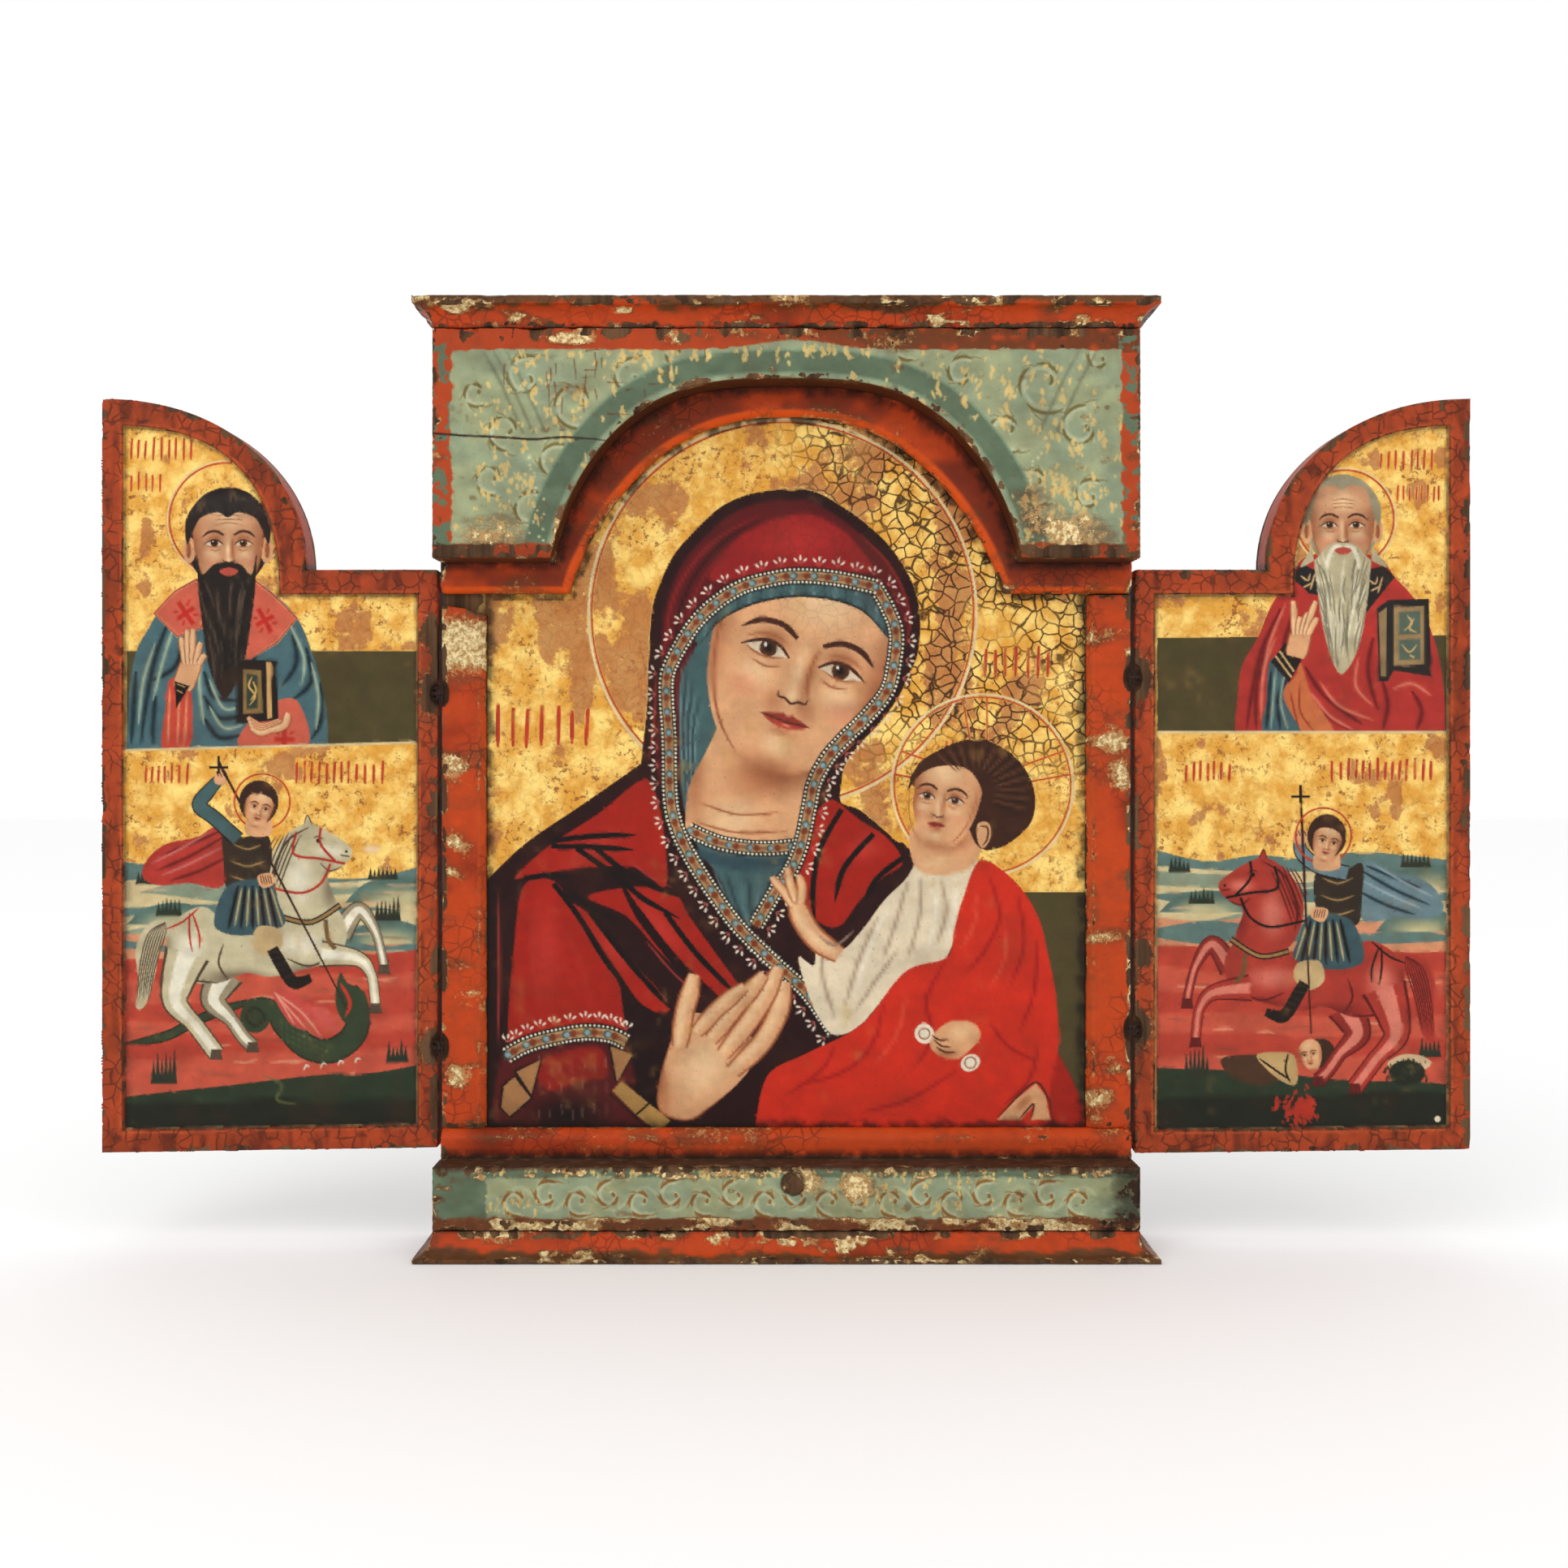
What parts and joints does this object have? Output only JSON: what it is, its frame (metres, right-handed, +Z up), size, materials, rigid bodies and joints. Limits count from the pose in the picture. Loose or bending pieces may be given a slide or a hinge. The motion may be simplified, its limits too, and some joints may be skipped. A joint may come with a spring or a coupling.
{
  "type": "painted wooden triptych",
  "caption": "Painted wooden triptych: an arched, moulded icon case that stands on its foot, with two arched wings on wire hinges that fold shut into its recess.",
  "frame": {"origin": "on the underside of the foot board, midway between its ends, in the plane of the front faces of the stiles and open wings", "axes": "+X to the viewer's right, +Y to the back, +Z up"},
  "size_m": [0.5622, 0.0475, 0.3836],
  "materials": {
    "gilded_panel": "tempera and worn gold leaf over gesso, fine craquelure, satin",
    "green_paint": "worn sage green tempera with painted scrollwork, chipped to gesso and wood",
    "vermilion_paint": "worn orange-red tempera, chipped to gesso and wood, satin",
    "bare_wood": "aged softwood, brown and matt",
    "iron_wire": "dark rusted iron wire"
  },
  "bodies": {
    "root": {"icon_panel": "gilded_panel", "arch_block": "green_paint", "base_block": "green_paint", "cornice": "vermilion_paint", "foot_board": "vermilion_paint", "button_peg": "bare_wood", "left_stile": "vermilion_paint", "right_stile": "vermilion_paint", "left_lower_case_staple": "iron_wire", "left_upper_case_staple": "iron_wire", "right_lower_case_staple": "iron_wire", "right_upper_case_staple": "iron_wire"},
    "left_wing": {"left_wing": "vermilion_paint", "left_lower_wing_staple": "iron_wire", "left_upper_wing_staple": "iron_wire"},
    "right_wing": {"right_wing": "vermilion_paint", "right_lower_wing_staple": "iron_wire", "right_upper_wing_staple": "iron_wire"}
  },
  "joints": [
    {"name": "left_wing_hinge", "type": "hinge", "parent": "root", "child": "left_wing", "pos_m": [-0.1423, -0.0015, 0.15], "axis": [0, 0, 1], "range_deg": [-3, 180]},
    {"name": "right_wing_hinge", "type": "hinge", "parent": "root", "child": "right_wing", "pos_m": [0.1423, -0.0015, 0.15], "axis": [0, 0, 1], "range_deg": [-180, 3]}
  ]
}
